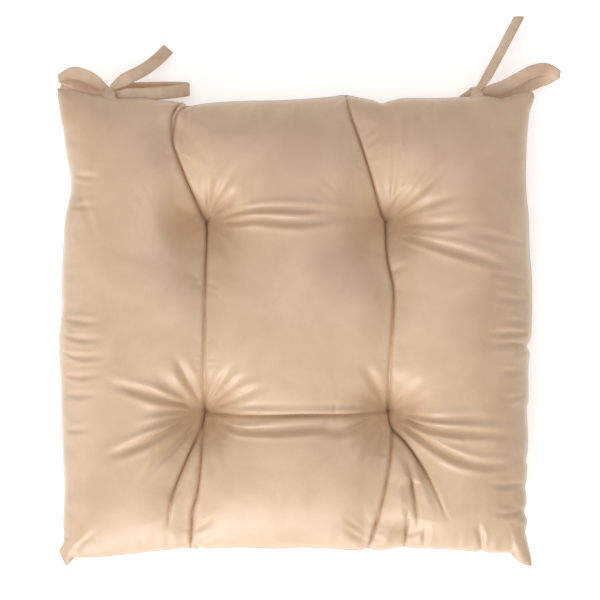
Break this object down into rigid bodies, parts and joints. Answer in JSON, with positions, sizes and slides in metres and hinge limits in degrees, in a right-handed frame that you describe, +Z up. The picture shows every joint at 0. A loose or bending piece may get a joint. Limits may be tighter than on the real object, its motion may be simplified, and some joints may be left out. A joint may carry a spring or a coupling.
{
  "type": "chair seat pad",
  "caption": "Square stuffed and tufted chair seat pad with knife-edge seams, and fabric ties sewn into the rear corners and knotted in bows.",
  "frame": {"origin": "middle of the flat underside, on the surface the pad rests on", "axes": "+X to the pad's right, +Y towards its rear edge and ties, +Z up through its thickness"},
  "size_m": [0.4264, 0.4571, 0.08],
  "materials": {
    "microfibre_cover": "short brushed pile, matt, beige",
    "polyester_fibre": "loose white fibre",
    "polyester_thread": "twisted thread, slight sheen, tan"
  },
  "bodies": {
    "pad": {"top_cover": "microfibre_cover", "bottom_cover": "microfibre_cover", "fibre_filling": "polyester_fibre", "rear_left_tuft_stitch": "polyester_thread", "rear_right_tuft_stitch": "polyester_thread", "front_left_tuft_stitch": "polyester_thread", "front_right_tuft_stitch": "polyester_thread", "seam_needle_thread": "polyester_thread", "seam_bobbin_thread": "polyester_thread", "left_tie_anchor": "microfibre_cover", "right_tie_anchor": "microfibre_cover"},
    "left_bow": {"left_tie_neck": "microfibre_cover", "left_tie_knot": "microfibre_cover", "left_tie_inner_loop": "microfibre_cover", "left_tie_outer_loop": "microfibre_cover", "left_tie_side_tail": "microfibre_cover"},
    "left_tail": {"left_tie_upper_tail": "microfibre_cover"},
    "right_bow": {"right_tie_neck": "microfibre_cover", "right_tie_knot": "microfibre_cover", "right_tie_loop": "microfibre_cover", "right_tie_under_tail": "microfibre_cover"},
    "right_tail": {"right_tie_upper_tail": "microfibre_cover"}
  },
  "joints": [
    {"name": "left_tie_swing", "type": "hinge", "parent": "pad", "child": "left_bow", "pos_m": [-0.1565, 0.19279, 0.034], "axis": [1, 0, 0], "range_deg": [-10, 90]},
    {"name": "left_tail_swing", "type": "hinge", "parent": "left_bow", "child": "left_tail", "pos_m": [-0.1509, 0.20169, 0.0314], "axis": [0.6, -0.8, 0], "range_deg": [-6, 45]},
    {"name": "right_tie_swing", "type": "hinge", "parent": "pad", "child": "right_bow", "pos_m": [0.1505, 0.19228, 0.034], "axis": [1, 0, 0], "range_deg": [-10, 90]},
    {"name": "right_tail_swing", "type": "hinge", "parent": "right_bow", "child": "right_tail", "pos_m": [0.1541, 0.20298, 0.0316], "axis": [0.8601, -0.5101, 0], "range_deg": [-12, 60]}
  ]
}
